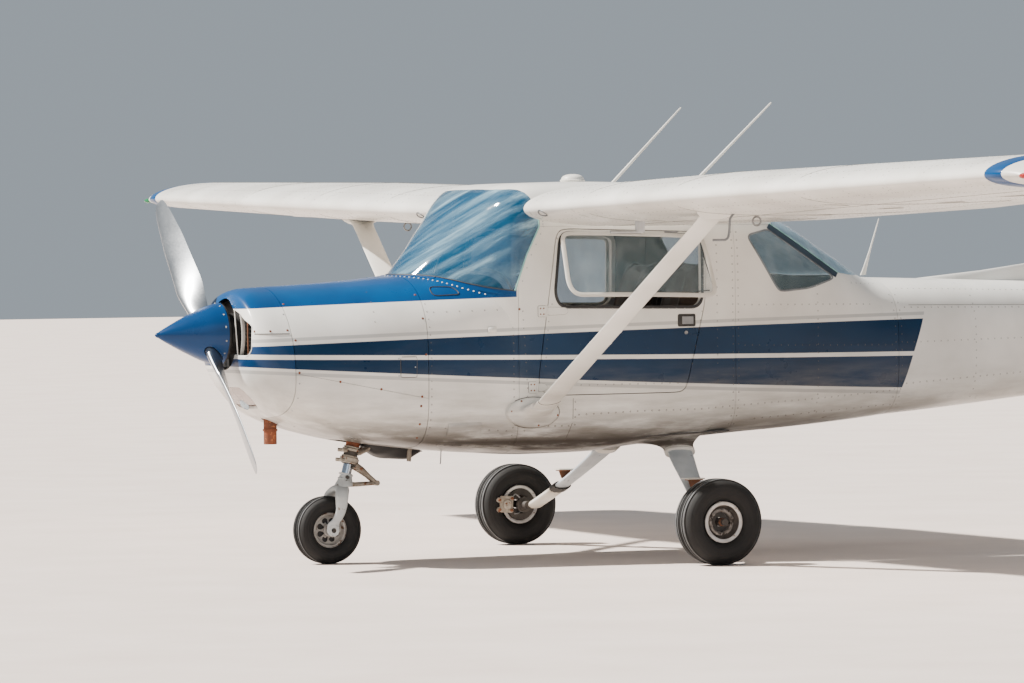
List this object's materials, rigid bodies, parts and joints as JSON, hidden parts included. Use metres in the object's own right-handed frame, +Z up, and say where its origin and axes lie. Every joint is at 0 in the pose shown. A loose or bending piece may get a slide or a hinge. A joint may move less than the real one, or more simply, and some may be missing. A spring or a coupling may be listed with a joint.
{
  "type": "light aircraft",
  "caption": "Two-seat high-wing light aircraft with strut-braced wings, a fixed tricycle gear and a tractor propeller.",
  "frame": {"origin": "centre of the bounding box on the ground plane, under the middle of the length", "axes": "+Z up, nose towards -X, port side towards -Y, wings along Y"},
  "size_m": [7.34, 10.16, 2.3884],
  "materials": {
    "white_paint": "glossy white enamel over aluminium sheet, worn",
    "blue_paint": "glossy blue enamel over aluminium sheet",
    "white_plastic": "white painted glass-fibre moulding",
    "red_lens": "red lens",
    "bare_alloy": "silver painted forged or cast alloy",
    "leg_steel": "painted spring steel",
    "gear_steel": "bare and painted steel tube",
    "engine_iron": "heat-dulled metal",
    "clear_glass": "clear sheet with a faint blue tint",
    "tyre_rubber": "worn black tyre",
    "panel_plastic": "matt dark panel",
    "seat_cloth": "woven seat cloth"
  },
  "bodies": {
    "airframe": {"cowl_nose_cap": "white_plastic", "cowl_upper": "blue_paint", "cowl_lower": "white_paint", "engine_block": "engine_iron", "exhaust_pipe": "engine_iron", "cabin_front": "white_paint", "cabin_centre": "white_paint", "cabin_rear": "white_paint", "roof": "white_paint", "windshield": "clear_glass", "rear_window": "clear_glass", "quarter_window_left": "clear_glass", "quarter_window_right": "clear_glass", "instrument_panel": "panel_plastic", "seat_left": "seat_cloth", "seat_right": "seat_cloth", "fin": "white_paint", "tailcone": "white_paint", "tailplane": "white_paint", "beacon": "red_lens", "wing_left": "white_paint", "wing_right": "white_paint", "wing_tip_left": "white_plastic", "wing_tip_right": "white_plastic", "wing_strut_left": "white_paint", "wing_strut_right": "white_paint", "main_gear_leg_left": "leg_steel", "main_gear_leg_right": "leg_steel", "nose_strut": "gear_steel", "aerial_left": "white_plastic", "aerial_right": "white_plastic", "rear_aerial": "white_plastic", "roof_dome": "white_plastic", "air_probe": "bare_alloy"},
    "propeller": {"propeller": "bare_alloy", "spinner": "blue_paint"},
    "nose_steering": {"nose_fork": "gear_steel"},
    "nose_wheel": {"nose_tyre": "tyre_rubber", "nose_rim": "bare_alloy"},
    "main_wheel_left": {"main_tyre_left": "tyre_rubber", "main_rim_left": "bare_alloy"},
    "main_wheel_right": {"main_tyre_right": "tyre_rubber", "main_rim_right": "bare_alloy"},
    "door_left": {"door_left": "white_paint", "door_window_left": "clear_glass"},
    "door_right": {"door_right": "white_paint", "door_window_right": "clear_glass"},
    "flap_left": {"flap_left": "white_paint"},
    "flap_right": {"flap_right": "white_paint"},
    "aileron_left": {"aileron_left": "white_paint"},
    "aileron_right": {"aileron_right": "white_paint"},
    "elevator": {"elevator_left": "white_paint", "elevator_right": "white_paint"},
    "trim_tab": {"elevator_trim_tab": "white_paint"},
    "rudder": {"rudder": "white_paint"}
  },
  "joints": [
    {"name": "propeller_spin", "type": "hinge", "parent": "airframe", "child": "propeller", "pos_m": [-3.412, 0, 1.088], "axis": [-1, 0, 0], "continuous": true},
    {"name": "nose_steer", "type": "hinge", "parent": "airframe", "child": "nose_steering", "pos_m": [-2.698, 0, 0.5], "axis": [0.2501, 0, 0.9682], "range_deg": [-30, 30]},
    {"name": "nose_wheel_spin", "type": "hinge", "parent": "nose_steering", "child": "nose_wheel", "pos_m": [-2.818, 0, 0.16], "axis": [0, 1, 0], "continuous": true},
    {"name": "main_wheel_left_spin", "type": "hinge", "parent": "airframe", "child": "main_wheel_left", "pos_m": [-1.336, -1.159, 0.201], "axis": [0, 1, 0], "continuous": true},
    {"name": "main_wheel_right_spin", "type": "hinge", "parent": "airframe", "child": "main_wheel_right", "pos_m": [-1.336, 1.159, 0.201], "axis": [0, 1, 0], "continuous": true},
    {"name": "door_left_swing", "type": "hinge", "parent": "airframe", "child": "door_left", "pos_m": [-1.948, -0.541, 1.18], "axis": [-0.0555, 0, -0.9985], "range_deg": [0, 65]},
    {"name": "door_right_swing", "type": "hinge", "parent": "airframe", "child": "door_right", "pos_m": [-1.968, 0.541, 0.82], "axis": [0.0555, 0, 0.9985], "range_deg": [0, 65]},
    {"name": "flap_left_hinge", "type": "hinge", "parent": "airframe", "child": "flap_left", "pos_m": [-0.7611, -2.548, 1.5843], "axis": [0.0166, 0.9995, -0.0277], "range_deg": [0, 30]},
    {"name": "flap_right_hinge", "type": "hinge", "parent": "airframe", "child": "flap_right", "pos_m": [-0.7289, 0.606, 1.5305], "axis": [-0.0166, 0.9995, 0.0277], "range_deg": [0, 30]},
    {"name": "aileron_left_hinge", "type": "hinge", "parent": "airframe", "child": "aileron_left", "pos_m": [-0.9417, -4.726, 1.752], "axis": [0.0756, 0.9967, -0.0302], "range_deg": [-17.5, 17.5]},
    {"name": "aileron_right_hinge", "type": "hinge", "parent": "airframe", "child": "aileron_right", "pos_m": [-0.7782, 2.57, 1.6867], "axis": [-0.0756, 0.9967, 0.0302], "range_deg": [-17.5, 17.5]},
    {"name": "elevator_hinge", "type": "hinge", "parent": "airframe", "child": "elevator", "pos_m": [2.796, 0, 1.248], "axis": [0, 1, 0], "range_deg": [-25, 18]},
    {"name": "trim_tab_hinge", "type": "hinge", "parent": "elevator", "child": "trim_tab", "pos_m": [3.088, 0.73, 1.248], "axis": [0, 1, 0], "range_deg": [-10, 20]},
    {"name": "rudder_hinge", "type": "hinge", "parent": "airframe", "child": "rudder", "pos_m": [2.748, 0, 0.945], "axis": [0.4032, 0, 0.9151], "range_deg": [-23, 23]}
  ],
  "couplings": [
    {"joint": "flap_right_hinge", "follows": "flap_left_hinge", "ratio": 1},
    {"joint": "aileron_right_hinge", "follows": "aileron_left_hinge", "ratio": -1}
  ]
}
